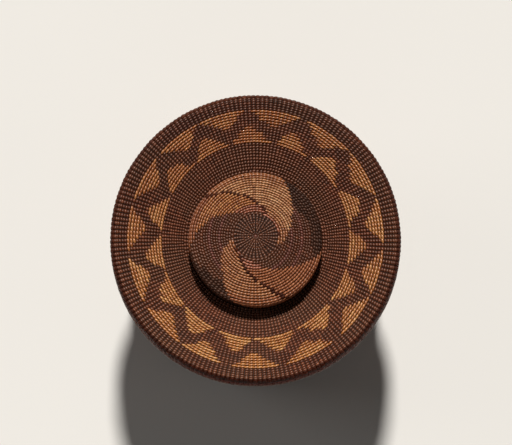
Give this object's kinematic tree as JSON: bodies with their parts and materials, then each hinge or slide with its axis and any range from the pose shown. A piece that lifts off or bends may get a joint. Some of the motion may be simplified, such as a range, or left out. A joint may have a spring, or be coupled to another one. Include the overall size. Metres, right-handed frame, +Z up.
{
  "type": "lidded basket",
  "caption": "Round twined basket with a slip-on lid: dark weave, zigzag of golden triangles round a dished brim, and a swirl on the low drum-shaped rattle knob.",
  "frame": {"origin": "centre of the foot ring's flat underside, on the basket's axis", "axes": "+Z up along the basket's axis, out through the lid's knob; -Y is the side that the picture's lower edge shows"},
  "size_m": [0.152, 0.152, 0.1064],
  "materials": {
    "dark_weft": "dyed split root, waxy sheen",
    "red_brown_braid": "split root, satin",
    "golden_grass": "glossy dyed grass",
    "grey_stone": "smooth river pebble"
  },
  "bodies": {
    "basket": {"basket_base": "dark_weft", "basket_foot_ring": "red_brown_braid", "basket_wall": "dark_weft", "basket_rim_braid": "red_brown_braid"},
    "lid": {"lid_brim": "dark_weft", "lid_skirt": "dark_weft", "lid_rim_braid": "red_brown_braid", "lid_knob_wall": "dark_weft", "lid_knob_top": "dark_weft", "lid_knob_floor": "dark_weft", "lid_outer_triangle_01": "golden_grass", "lid_outer_triangle_02": "golden_grass", "lid_outer_triangle_03": "golden_grass", "lid_outer_triangle_04": "golden_grass", "lid_outer_triangle_05": "golden_grass", "lid_outer_triangle_06": "golden_grass", "lid_outer_triangle_07": "golden_grass", "lid_outer_triangle_08": "golden_grass", "lid_outer_triangle_09": "golden_grass", "lid_outer_triangle_10": "golden_grass", "lid_outer_triangle_11": "golden_grass", "lid_outer_triangle_12": "golden_grass", "lid_outer_triangle_13": "golden_grass", "lid_outer_triangle_14": "golden_grass", "lid_outer_triangle_15": "golden_grass", "lid_inner_triangle_01": "golden_grass", "lid_inner_triangle_02": "golden_grass", "lid_inner_triangle_03": "golden_grass", "lid_inner_triangle_04": "golden_grass", "lid_inner_triangle_05": "golden_grass", "lid_inner_triangle_06": "golden_grass", "lid_inner_triangle_07": "golden_grass", "lid_inner_triangle_08": "golden_grass", "lid_inner_triangle_09": "golden_grass", "lid_inner_triangle_10": "golden_grass", "lid_inner_triangle_11": "golden_grass", "lid_inner_triangle_12": "golden_grass", "lid_inner_triangle_13": "golden_grass", "lid_inner_triangle_14": "golden_grass", "lid_inner_triangle_15": "golden_grass", "lid_knob_swirl_1": "golden_grass", "lid_knob_swirl_2": "golden_grass", "lid_knob_swirl_3": "golden_grass", "lid_knob_swirl_4": "golden_grass"},
    "pebbles": {"rattle_pebble_1": "grey_stone", "rattle_pebble_2": "grey_stone", "rattle_pebble_3": "grey_stone", "rattle_pebble_4": "grey_stone", "rattle_pebble_5": "grey_stone"}
  },
  "joints": [
    {"name": "lid_lift", "type": "slide", "parent": "basket", "child": "lid", "axis": [0, 0, 1], "range_m": [0, 0.08]},
    {"name": "rattle_roll", "type": "hinge", "parent": "lid", "child": "pebbles", "pos_m": [0, 0, 0.0947], "axis": [0, 0, 1], "continuous": true}
  ]
}
